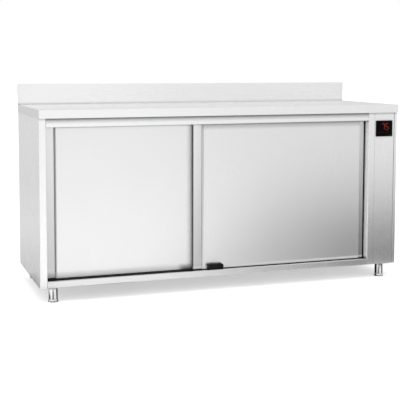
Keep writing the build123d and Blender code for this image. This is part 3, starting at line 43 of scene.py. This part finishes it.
class Tree:
    """A material's node tree with short calls for adding and joining nodes."""

    def __init__(self, name):
        self.material = bpy.data.materials.new(name)
        self.material.use_nodes = True
        self.tree = self.material.node_tree
        self.tree.nodes.clear()
        self.output = self.add("ShaderNodeOutputMaterial")

    def add(self, kind, inputs=None, **settings):
        node = self.tree.nodes.new(kind)
        for key, value in settings.items():
            setattr(node, key, value)
        for key, value in (inputs or {}).items():
            self.put(node.inputs[key], value)
        return node

    def put(self, socket, value):
        if isinstance(value, bpy.types.NodeSocket):
            self.tree.links.new(value, socket)
        else:
            socket.default_value = value

    def own(self, kind):
        """The piece's own coordinates (Object), or the direction its surface faces (Normal)."""
        return self.add("ShaderNodeTexCoord").outputs[kind]

    def split(self, vector):
        """A vector's X, Y and Z."""
        return self.add("ShaderNodeSeparateXYZ", {"Vector": vector}).outputs

    def place(self, scale):
        """The piece's own coordinates, stretched by a scale on each axis."""
        stretched = {"Vector": self.own("Object"), "Scale": scale}
        return self.add("ShaderNodeMapping", stretched).outputs["Vector"]

    def noise(self, scale, detail=3.0, roughness=0.55):
        """Cloudy values from 0 to 1 with a scale on each axis."""
        return self.add(
            "ShaderNodeTexNoise",
            {"Vector": self.place(scale), "Scale": 1.0, "Detail": detail, "Roughness": roughness},
        ).outputs["Fac"]

    def spread(self, value, low, high):
        """A value from 0 to 1 spread between two numbers."""
        limits = {"Value": value, "To Min": low, "To Max": high}
        return self.add("ShaderNodeMapRange", limits).outputs["Result"]

    def between(self, value, low, high):
        """Smoothly from 0 at one value to 1 at the other."""
        limits = {"Value": value, "From Min": low, "From Max": high}
        return self.add(
            "ShaderNodeMapRange", limits, interpolation_type="SMOOTHSTEP"
        ).outputs["Result"]

    def ramp(self, value, stops):
        """A colour ramp through (place, colour) stops."""
        node = self.add("ShaderNodeValToRGB", {"Fac": value})
        elements = node.color_ramp.elements
        while len(elements) < len(stops):
            elements.new(0.5)
        for element, (position, colour) in zip(elements, stops):
            element.position = position
            element.color = (*colour, 1.0)
        return node.outputs["Color"]

    def mix(self, factor, first, second):
        """A colour from the first at factor 0 to the second at factor 1."""
        node = self.add("ShaderNodeMix", data_type="RGBA")
        self.put(node.inputs[0], factor)
        self.put(node.inputs[6], first)
        self.put(node.inputs[7], second)
        return node.outputs[2]

    def math(self, operation, first, second):
        return self.add("ShaderNodeMath", {0: first, 1: second}, operation=operation).outputs[0]

    def times(self, *values):
        """The product of the values."""
        return reduce(lambda first, second: self.math("MULTIPLY", first, second), values)

    def most(self, *values):
        """The largest of the values."""
        return reduce(lambda first, second: self.math("MAXIMUM", first, second), values)

    def rest(self, value):
        """What is left of 1 beside the value."""
        return self.math("SUBTRACT", 1.0, value)

    def vector_math(self, operation, *vectors):
        """Arithmetic on whole vectors, with a Vector and a Value as outputs."""
        return self.add(
            "ShaderNodeVectorMath", dict(enumerate(vectors)), operation=operation
        ).outputs

    def open_sky(self, reach):
        """1 on open sheet, and less where something stands nearer than the reach."""
        return self.add("ShaderNodeAmbientOcclusion", {"Distance": reach}, samples=6).outputs["AO"]

    def bump(self, height, strength, distance):
        relief = {"Height": height, "Strength": strength, "Distance": distance}
        return self.add("ShaderNodeBump", relief).outputs["Normal"]

    def principled(self, inputs):
        node = self.add("ShaderNodeBsdfPrincipled", inputs)
        self.put(self.output.inputs["Surface"], node.outputs[0])
        return self.material


def even(scale):
    """The same scale on each axis."""
    return (scale, scale, scale)


def shifted(start, band):
    """A band measured from a start."""
    return tuple(start + end for end in band)


# Sheet metal

# Scales of the brush lines, which run long on one axis
ALONG_X = (3.0, 900.0, 900.0)
ALONG_Z = (900.0, 900.0, 3.0)

# Brush lines, broad clouds and marks of handling: their scale, and how far each sways the roughness
LINE_CONTRAST = (0.15, 0.85)
LINE_HEIGHT = 0.000012
LINE_SWAY = 0.035
CLOUD_SCALE = 2.2
CLOUD_SWAY = 0.02
HANDLING_SCALE = 9.0
HANDLING_SWAY = 0.015

# Colour of the painted shade in creases and near other parts
CREASE_SHADE_COLOUR = (0.02, 0.02, 0.022, 1)
BLUE_TINT = 1.004

# From which share of its direction along X a face is square to X, and how metallic the folded returns
# of the fascia and the doors are that look left: less metallic, they render lighter, a painted highlight
SQUARE_TO_X = 0.7
MATT_RETURN = 0.25


def steel_tone(value):
    """Grey with a touch more blue."""
    return (value, value, value * BLUE_TINT, 1)


def left_face(t):
    """1 on the faces that look left, square to X."""
    return t.math("LESS_THAN", t.split(t.own("Normal"))["X"], -SQUARE_TO_X)


def brushed_metal(
    name,
    tones,
    grain,
    rough=0.27,
    line_depth=0.2,
    crease=1.4,
    reach=0.022,
    end_shade=1.0,
    return_metallic=1.0,
    painted_light=None,
):
    """Satin metal with fine brush lines, darkened by painted shade in its creases and near other parts.

    end_shade is painted shade that dims the faces square to X, and return_metallic is for those of them
    that look left, which render lighter when less metallic: a painted highlight.
    painted_light takes the tree, how unshaded the sheet is and how metallic, and gives the last two back.
    """
    t = Tree(name)
    lines = t.noise(grain, detail=4.0, roughness=0.7)
    clouds = t.noise(even(CLOUD_SCALE))
    handling = t.noise(even(HANDLING_SCALE), detail=5.0, roughness=0.6)
    sheet = t.mix(t.spread(lines, *LINE_CONTRAST), *(steel_tone(tone) for tone in tones))

    # Painted shade: darker where other parts stand nearer than the reach
    unshaded = t.math("POWER", t.open_sky(reach), crease)
    # Painted shade on the faces square to X
    sideways = t.math("ABSOLUTE", t.split(t.own("Normal"))["X"], 0.0)
    end_face = t.math("GREATER_THAN", sideways, SQUARE_TO_X)
    unshaded = t.times(unshaded, t.spread(end_face, 1.0, end_shade))
    # Faces that look left render lighter when less metallic: a painted highlight
    metallic = t.spread(left_face(t), 1.0, return_metallic)
    # Further painted light and shade of the piece's own, such as a door's
    if painted_light:
        unshaded, metallic = painted_light(t, unshaded, metallic)

    uneven = t.math(
        "ADD",
        t.spread(clouds, -CLOUD_SWAY, CLOUD_SWAY),
        t.spread(handling, -HANDLING_SWAY, HANDLING_SWAY),
    )
    brushed = t.spread(lines, rough - LINE_SWAY, rough + LINE_SWAY)
    return t.principled(
        {
            # The sheet's colour, darkened towards the painted shade colour where it is shaded
            "Base Color": t.mix(unshaded, CREASE_SHADE_COLOUR, sheet),
            "Metallic": metallic,
            "Roughness": t.math("ADD", brushed, uneven),
            "Normal": t.bump(lines, line_depth, LINE_HEIGHT),
        }
    )


# Where a door's finger pulls are sunk behind its front, and the least share of light that the painted
# crease shade leaves them
GRIP_SINK = (0.006, 0.011)
GRIP_UNSHADED = 0.94

# Painted shade in the finger pulls: how dark a pull is under the rail and at the bottom, and where
# the one on the right edge is darker
GRIP_SHADE = (0.02, 0.28)
TRAILING_GRIP = (-0.032, -0.026)
TRAILING_GRIP_SHADE = (0.06, 0.60)

# Painted shade lines: under the rail, and down the fold where the raised panel begins beside the left pull
RAIL_LINE = (-0.008, -0.003)
RAIL_LINE_SHADE = 0.50
LEADING_GRIP = 0.040
FOLD_LEFT = (-0.002, 0.0)
FOLD_RIGHT = (0.009, 0.006)
FOLD_SHADE = 0.22

# The pale lower edge, a painted highlight made by a less metallic band: its height as a share of how far
# the sill's front stands ahead of the door, the multiple of that height at which it fades out, and how much
# less metallic it is
LOWER_EDGE_SHARE = 0.4
LOWER_EDGE_FADE = 1.3
LOWER_EDGE_MATT = 0.8

# The painted crease shade is lifted at the foot of the panel, and the left door takes painted shade towards
# the right one in front of it
UNSHADED_FOOT = (0.09, 0.04)
MEETING = (-0.08, -0.035)
MEETING_CREASE = 1.7


def door_painted_light(node):
    """A door's painted light: shade in its finger pulls, shade lines, a darker meeting edge and a highlight
    on its lower edge.
    """
    low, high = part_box(node)
    rail_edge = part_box("top_rail")[0][2]
    face, bottom = low[1], low[2]
    panel_edge = low[0] + LEADING_GRIP
    edge_height = LOWER_EDGE_SHARE * (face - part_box("sill")[0][1])

    def painted_light(t, unshaded, metallic):
        x, y, z = t.split(t.own("Object"))
        sunk = t.between(y, *shifted(face, GRIP_SINK))
        proud = t.rest(sunk)
        # A band along the bottom that is made less metallic so that it renders pale: a painted highlight
        lower_edge = t.between(z, bottom + LOWER_EDGE_FADE * edge_height, bottom + edge_height)

        # Painted shade in the pulls, darker downwards and in the pull on the right edge, none on the pale
        # lower edge
        down = t.between(z, rail_edge, bottom)
        trailing = t.between(x, *shifted(high[0], TRAILING_GRIP))
        trailing_shade = t.times(trailing, t.spread(down, *TRAILING_GRIP_SHADE))
        grip_shade = t.most(t.spread(down, *GRIP_SHADE), trailing_shade)
        grip_shade = t.times(sunk, grip_shade, t.rest(lower_edge))

        # Painted shade lines under the rail and down the fold beside the left pull
        rail_line = t.times(t.between(z, *shifted(rail_edge, RAIL_LINE)), RAIL_LINE_SHADE)
        fold_left = t.between(x, *shifted(panel_edge, FOLD_LEFT))
        fold_right = t.between(x, *shifted(panel_edge, FOLD_RIGHT))
        fold_line = t.times(fold_left, fold_right, proud, FOLD_SHADE)
        shade = t.most(grip_shade, rail_line, fold_line)

        # The painted crease shade is lifted at the foot of the panel
        unshaded_foot = t.between(z, *shifted(bottom, UNSHADED_FOOT))
        # The left door takes painted shade towards the right door's edge in front of it
        if node == "left_door_skin":
            front_door_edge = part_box("right_door_skin")[0][0]
            meeting = t.between(x, *shifted(front_door_edge, MEETING))
            unshaded = t.math("POWER", unshaded, t.spread(meeting, 1.0, MEETING_CREASE))
            unshaded_foot = t.times(unshaded_foot, t.rest(meeting))
        # The raised panel's faces that look left, and the pulls, keep little or none of the painted crease
        # shade, so they render lighter
        unshaded_return = t.times(left_face(t), proud)
        unshaded = t.most(unshaded, unshaded_foot, t.times(sunk, GRIP_UNSHADED), unshaded_return)
        # The painted shade of pulls and lines darkens the sheet
        unshaded = t.times(unshaded, t.rest(shade))
        # Less metallic along the pale lower edge, a painted highlight
        matt = t.times(lower_edge, LOWER_EDGE_MATT)
        metallic = t.times(t.most(metallic, sunk), t.rest(matt))
        return unshaded, metallic

    return painted_light


def galvanised(name):
    """Zinc-coated steel with its broad crystal pattern."""
    t = Tree(name)
    crystals = t.add("ShaderNodeTexVoronoi", {"Vector": t.place(even(70.0)), "Scale": 1.0}).outputs
    tone = crystals["Color"]
    return t.principled(
        {
            "Base Color": t.ramp(tone, [(0.0, (0.46, 0.48, 0.50)), (1.0, (0.64, 0.66, 0.68))]),
            "Metallic": 1.0,
            "Roughness": t.spread(tone, 0.34, 0.48),
            "Normal": t.bump(crystals["Distance"], 0.2, 0.0001),
        }
    )


# Other materials


def bare_metal(name, tone, rough, grain, crease=0.0):
    """Unbrushed metal with faint lines round or along it, and painted shade in its creases where it is
    asked for.
    """
    t = Tree(name)
    lines = t.noise(grain)
    dull = tone - 0.04
    colour = t.mix(lines, (dull, dull, dull + 0.005, 1), (tone, tone, tone + 0.005, 1))
    # Painted shade where other parts stand near
    if crease:
        colour = t.mix(t.math("POWER", t.open_sky(0.013), crease), CREASE_SHADE_COLOUR, colour)
    return t.principled(
        {
            "Base Color": colour,
            "Metallic": 1.0,
            "Roughness": t.spread(lines, rough, rough + 0.05),
            "Normal": t.bump(lines, 0.15, 0.00001),
        }
    )


def moulded(name, colour, rough, lift=0.012, ior=1.46):
    """Plastic, rubber or enamel with a fine eggshell surface, lighter by the lift in patches."""
    t = Tree(name)
    fine = t.noise(even(1400.0), detail=2.0)
    broad = t.noise(even(14.0), detail=4.0)
    lighter = tuple(min(1.0, channel + lift) for channel in colour)
    return t.principled(
        {
            "Base Color": t.mix(broad, (*colour, 1), (*lighter, 1)),
            "Roughness": t.spread(broad, rough - 0.04, rough + 0.06),
            "IOR": ior,
            "Normal": t.bump(fine, 0.4, 0.00006),
        }
    )


def mineral_wool(name):
    """Matted yellow-brown fibre."""
    t = Tree(name)
    fibres = t.noise((260.0, 60.0, 900.0), detail=6.0, roughness=0.8)
    clumps = t.noise(even(30.0), detail=4.0)
    tone = t.times(fibres, t.spread(clumps, 0.7, 1.3))
    return t.principled(
        {
            "Base Color": t.ramp(tone, [(0.2, (0.34, 0.27, 0.14)), (0.8, (0.66, 0.57, 0.36))]),
            "Roughness": 0.95,
            "Normal": t.bump(fibres, 0.8, 0.001),
        }
    )


def smoked_glass(name):
    """The display's dark touch plate: near black, glossy, faintly uneven."""
    t = Tree(name)
    smears = t.noise((60.0, 60.0, 30.0), detail=5.0, roughness=0.6)
    haze = t.noise(even(25.0))
    return t.principled(
        {
            "Base Color": t.mix(haze, (0.001, 0.001, 0.001, 1), (0.004, 0.004, 0.005, 1)),
            "Roughness": t.spread(smears, 0.08, 0.20),
            "IOR": 1.45,
            "Specular IOR Level": 0.06,
            "Alpha": 0.35,
        }
    )


def lit_figures(name):
    """The display's red figures, a little uneven along each bar."""
    t = Tree(name)
    uneven = t.noise(even(400.0), detail=2.0)
    colour = t.mix(uneven, (0.75, 0.03, 0.02, 1), (0.95, 0.10, 0.07, 1))
    return t.principled(
        {
            "Base Color": colour,
            "Roughness": 0.4,
            "Emission Color": colour,
            "Emission Strength": 0.25,
        }
    )


# Which piece has which finish

SLOT_FINISH = {
    "satin_stainless": brushed_metal("satin_stainless", (0.92, 0.97), ALONG_X, reach=0.010),
    "inner_stainless": brushed_metal("inner_stainless", (0.70, 0.80), ALONG_X, rough=0.30),
    "galvanised_steel": galvanised("galvanised_steel"),
    # The legs take strong painted shade in their creases and near the floor
    "bright_stainless": bare_metal("bright_stainless", 0.90, 0.10, (40.0, 40.0, 900.0), crease=4.0),
    "zinc_plated_steel": bare_metal("zinc_plated_steel", 0.70, 0.26, even(300.0)),
    "track_aluminium": bare_metal("track_aluminium", 0.74, 0.32, (2.0, 700.0, 700.0)),
    "element_steel": bare_metal("element_steel", 0.22, 0.42, even(200.0)),
    "motor_enamel": moulded("motor_enamel", (0.05, 0.055, 0.06), 0.42),
    "black_rubber": moulded("black_rubber", (0.004, 0.004, 0.004), 0.75, lift=0.004, ior=1.2),
    "black_plastic": moulded("black_plastic", (0.003, 0.003, 0.003), 0.5, lift=0.004, ior=1.22),
    "smoked_glass": smoked_glass("smoked_glass"),
    "display_red": lit_figures("display_red"),
    "white_plastic": moulded("white_plastic", (0.78, 0.78, 0.75), 0.40, lift=0.03),
    "grey_plastic": moulded("grey_plastic", (0.34, 0.35, 0.36), 0.48, lift=0.03),
    "mineral_wool": mineral_wool("mineral_wool"),
}

# Outer sheets whose grain, painted crease shade or other painted light differ from their slot's
UPRIGHT_GRAIN = brushed_metal(
    "satin_stainless_upright", (0.93, 0.97), ALONG_Z, line_depth=0.08, crease=1.0, reach=0.014
)
NODE_FINISH = {
    "left_side_panel": UPRIGHT_GRAIN,
    "right_side_panel": UPRIGHT_GRAIN,
    "control_fascia": brushed_metal(
        "satin_stainless_fascia",
        (0.93, 0.97),
        ALONG_Z,
        line_depth=0.08,
        crease=1.2,
        reach=0.014,
        return_metallic=MATT_RETURN,
    ),
    # The rail's strong crease shade is a painted shadow under the hem
    "top_rail": brushed_metal(
        "satin_stainless_under_hem", (0.93, 0.98), ALONG_X, crease=4.2, reach=0.026
    ),
    # The worktop's faces square to X take painted shade
    "worktop": brushed_metal(
        "satin_stainless_worktop", (0.93, 0.97), ALONG_X, reach=0.010, end_shade=0.86
    ),
    "sill": brushed_metal("satin_stainless_sill", (0.79, 0.85), ALONG_X, reach=0.006),
}
for side in ("left", "right"):
    skin = f"{side}_door_skin"
    # The doors take wide painted crease shade and their own painted light
    NODE_FINISH[skin] = brushed_metal(
        f"door_stainless_{side}",
        (0.85, 0.91),
        ALONG_Z,
        rough=0.29,
        crease=1.8,
        reach=0.032,
        return_metallic=MATT_RETURN,
        painted_light=door_painted_light(skin),
    )

for part in frame["record"]["subparts"]:
    node, slot = part["node"], part["material_slot"]
    finish = NODE_FINISH[node] if node in NODE_FINISH else SLOT_FINISH[slot]
    finishes = frame["nodes"][node].data.materials
    finishes.clear()
    finishes.append(finish)


# Floor

# The floor's colour, how much full grey takes from it, and its glow to the camera and to reflections
FLOOR_SIZE = 60
FLOOR_WHITE = 0.90
GREY_DEPTH = 0.50
CAMERA_GLOW = 0.52
GLOSSY_GLOW = 0.20

# Grey in front, whose left edge slants away to the right: wide, deeper at the right, faint all over
SLANT = 0.55
FRONT_ACROSS = (-0.9, 0.25)
FRONT_FAR = (-5.0, -1.2)
FRONT_START = (-0.38, -0.60)
DEEPER_ACROSS = (0.1, 0.7)
DEEPER_FAR = (-3.0, -0.8)
DEEPER_GREY = 0.45
FAINT_FAR = (-4.5, -1.2)
FAINT_GREY = 0.14

# Grey from beside the cabinet to behind it, and at its left
BEHIND_START = (-0.5, 0.2)
BEHIND_GREY = 0.42
BEHIND_NEAR = (2.0, 0.3)
BEHIND_NEAR_GREY = 0.20
LEFT_ACROSS = (-0.85, -1.5)
LEFT_DEEP = (0.5, -0.4)
LEFT_GREY = 0.7

# Painted shadow for reflections, under the cabinet and round its front legs, but not where the left side
# panel shows it
UNDER_GREY = 1.6
UNDER_LEFT = (-1.04, -0.92)
UNDER_RIGHT = (1.16, 0.96)
UNDER_FRONT = (-0.30, -0.22)
UNDER_BACK = (0.42, 0.30)
PANEL_SIDE = (-0.95, -1.02)
PANEL_FRONT = (-0.36, -0.30)

# Round a front leg: bands of the distance from it, and of how nearly the way there points along its
# outlook, which is the direction over the floor from the leg towards the camera
LEG_RADIUS = 0.020
LEFT_OUTLOOK = (-0.18, -0.98, 0)
RIGHT_OUTLOOK = (-0.51, -0.86, 0)
RING_REACH = (0.46, 0.32)
RING_SIDES = (0.25, 0.10)
STRIP_REACH = (0.30, 0.22)
STRIP_AHEAD = (0.90, 0.96)
STRIP_GREY = 0.8


def front_grey(t, x, y):
    """The grey in front, which the doors reflect."""
    slant = t.math("ADD", x, t.times(y, SLANT))
    wide = t.times(t.between(slant, *FRONT_ACROSS), t.between(y, *FRONT_FAR))
    deeper = t.times(t.between(slant, *DEEPER_ACROSS), t.between(y, *DEEPER_FAR))
    grey = t.math("ADD", wide, t.times(deeper, DEEPER_GREY))
    grey = t.times(grey, t.between(y, *FRONT_START))
    return t.most(grey, t.times(t.between(y, *FAINT_FAR), FAINT_GREY))


def behind_grey(t, y):
    """The grey that the sides and the back reflect, darker near the cabinet."""
    nearer = t.times(t.between(y, *BEHIND_NEAR), BEHIND_NEAR_GREY)
    return t.times(t.between(y, *BEHIND_START), t.math("ADD", nearer, BEHIND_GREY))


def under_grey(t, x, y):
    """Painted shadow, seen only in reflections: under the cabinet, round its front legs and in a strip
    ahead of each.
    """
    grey = t.times(
        t.times(t.between(x, *UNDER_LEFT), t.between(x, *UNDER_RIGHT)),
        t.times(t.between(y, *UNDER_FRONT), t.between(y, *UNDER_BACK)),
    )
    off_panel = t.rest(t.times(t.between(x, *PANEL_SIDE), t.between(y, *PANEL_FRONT)))
    low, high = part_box("leg_tubes")
    leg_y = low[1] + LEG_RADIUS
    left_x, right_x = low[0] + LEG_RADIUS, high[0] - LEG_RADIUS
    for leg_x, outlook in ((left_x, LEFT_OUTLOOK), (right_x, RIGHT_OUTLOOK)):
        away = t.vector_math("SUBTRACT", t.own("Object"), (leg_x, leg_y, 0.0))["Vector"]
        distance = t.vector_math("LENGTH", away)["Value"]
        heading = t.vector_math("NORMALIZE", away)["Vector"]
        ahead = t.vector_math("DOT_PRODUCT", heading, outlook)["Value"]
        ring = t.times(t.between(distance, *RING_REACH), t.between(ahead, *RING_SIDES), off_panel)
        strip = t.times(t.between(distance, *STRIP_REACH), t.between(ahead, *STRIP_AHEAD))
        grey = t.most(grey, ring, t.times(strip, STRIP_GREY))
    return grey


def floor_material():
    """White to the camera with the object's shadow kept; to reflections, partly grey card and partly
    painted shadow.
    """
    t = Tree("studio_floor")
    rays = t.add("ShaderNodeLightPath").outputs
    x, y, _ = t.split(t.own("Object"))
    left_grey = t.times(t.between(x, *LEFT_ACROSS), t.between(y, *LEFT_DEEP))
    grey = t.most(
        front_grey(t, x, y),
        behind_grey(t, y),
        t.times(under_grey(t, x, y), UNDER_GREY),
        t.times(left_grey, LEFT_GREY),
    )
    grey = t.times(grey, rays["Is Glossy Ray"])
    shade = t.math("SUBTRACT", FLOOR_WHITE, t.times(grey, GREY_DEPTH))
    colour = t.add("ShaderNodeCombineColor", {"Red": shade, "Green": shade, "Blue": shade})
    diffuse = t.add("ShaderNodeBsdfDiffuse", {"Color": colour.outputs["Color"]})
    open_floor = t.most(t.rest(grey), 0.0)
    strength = t.math(
        "ADD",
        t.times(rays["Is Camera Ray"], CAMERA_GLOW),
        t.times(rays["Is Glossy Ray"], open_floor, GLOSSY_GLOW),
    )
    glow = t.add("ShaderNodeEmission", {"Color": (1, 1, 1, 1), "Strength": strength})
    both = t.add("ShaderNodeAddShader", {0: diffuse.outputs[0], 1: glow.outputs[0]})
    t.put(t.output.inputs["Surface"], both.outputs[0])
    return t.material


bpy.ops.mesh.primitive_plane_add(size=FLOOR_SIZE, location=(0, 0, 0))
floor = bpy.context.object
floor.name = "studio_floor"
floor.data.materials.append(floor_material())


# World

ROOM_STRENGTH = 0.80
WHITE_STRENGTH = 1.0

world = bpy.data.worlds.new("studio")
scene.world = world
world.use_nodes = True
tree = world.node_tree
tree.nodes.clear()
world_rays = tree.nodes.new("ShaderNodeLightPath").outputs


def background(strength):
    """A plain white surround."""
    node = tree.nodes.new("ShaderNodeBackground")
    node.inputs["Color"].default_value = (1, 1, 1, 1)
    node.inputs["Strength"].default_value = strength
    return node


def mixed(factor, first, second):
    """The first surround where the factor is 0, and the second where it is 1."""
    node = tree.nodes.new("ShaderNodeMixShader")
    tree.links.new(factor, node.inputs[0])
    tree.links.new(first.outputs[0], node.inputs[1])
    tree.links.new(second.outputs[0], node.inputs[2])
    return node


seen = background(ROOM_STRENGTH)
for ray in ("Is Glossy Ray", "Is Camera Ray", "Is Transmission Ray"):
    seen = mixed(world_rays[ray], seen, background(WHITE_STRENGTH))
world_output = tree.nodes.new("ShaderNodeOutputWorld")
tree.links.new(seen.outputs[0], world_output.inputs["Surface"])


# Cards

# Where the standing cards begin and end above the floor, how high the level one hangs, and which kinds
# of ray pass the cards by
CARD_FOOT = 0.01
CARD_TOP = 3.2
CEILING = 4.2
HIDDEN_FROM = ("camera", "diffuse", "transmission", "shadow", "volume_scatter")


def card(name, corners, strength):
    """A plain card that only reflections see."""
    mesh = bpy.data.meshes.new(name)
    mesh.from_pydata(corners, [], [(0, 1, 2, 3)])
    t = Tree(name)
    glow = t.add("ShaderNodeEmission", {"Color": (1, 1, 1, 1), "Strength": strength})
    t.put(t.output.inputs["Surface"], glow.outputs[0])
    mesh.materials.append(t.material)
    piece = bpy.data.objects.new(name, mesh)
    scene.collection.objects.link(piece)
    for ray in HIDDEN_FROM:
        setattr(piece, f"visible_{ray}", False)


def standing_card(name, left, right, y, strength):
    """A card that stands across the room."""
    corners = [(left, y, CARD_FOOT), (right, y, CARD_FOOT), (right, y, CARD_TOP), (left, y, CARD_TOP)]
    card(name, corners, strength)


standing_card("back_card", left=-9, right=9, y=5, strength=0.72)
card(
    "ceiling_card",
    [(-10, -8, CEILING), (-10, 10, CEILING), (10, 10, CEILING), (10, -8, CEILING)],
    strength=0.82,
)
standing_card("right_card", left=1.3, right=9, y=-5, strength=0.84)


# Lamps


def area_light(name, place, target, size, watts):
    """A soft lamp that looks at its target, and that reflections don't show."""
    data = bpy.data.lights.new(name, "AREA")
    data.shape = "RECTANGLE"
    data.size, data.size_y = size
    data.energy = watts
    lamp = bpy.data.objects.new(name, data)
    lamp.location = place
    lamp.rotation_mode = "QUATERNION"
    lamp.rotation_quaternion = (Vector(target) - Vector(place)).to_track_quat("-Z", "Y")
    lamp.visible_glossy = False
    scene.collection.objects.link(lamp)


area_light(
    "overhead", place=(-0.6, -1.2, 3.4), target=(0, -0.1, 0.5), size=(3.0, 2.2), watts=34
)
area_light(
    "left_front", place=(-3.4, -3.0, 2.2), target=(-0.3, 0, 0.5), size=(2.0, 2.4), watts=22
)


# Camera

# Fitted to the photograph: place, turn and tilt in radians, and focal length in its pixels
CAMERA_PLACE = (-1.589, -4.349, 1.060)
YAW = 0.320
PITCH = 0.0793
FOCAL_PX = 929.8
PHOTO_WIDTH_PX = 400.0
SENSOR_WIDTH_MM = 36.0
LENS_SHIFT = (0.05, -0.15)

camera_data = bpy.data.cameras.new("camera")
camera_data.sensor_fit = "HORIZONTAL"
camera_data.sensor_width = SENSOR_WIDTH_MM
camera_data.lens = FOCAL_PX * SENSOR_WIDTH_MM / PHOTO_WIDTH_PX
camera_data.shift_x, camera_data.shift_y = LENS_SHIFT
camera = bpy.data.objects.new("camera", camera_data)
scene.collection.objects.link(camera)
camera.location = CAMERA_PLACE
camera.rotation_mode = "XYZ"
camera.rotation_euler = (math.pi / 2 - PITCH, 0.0, -YAW)
scene.camera = camera

scene.view_settings.view_transform = "Standard"
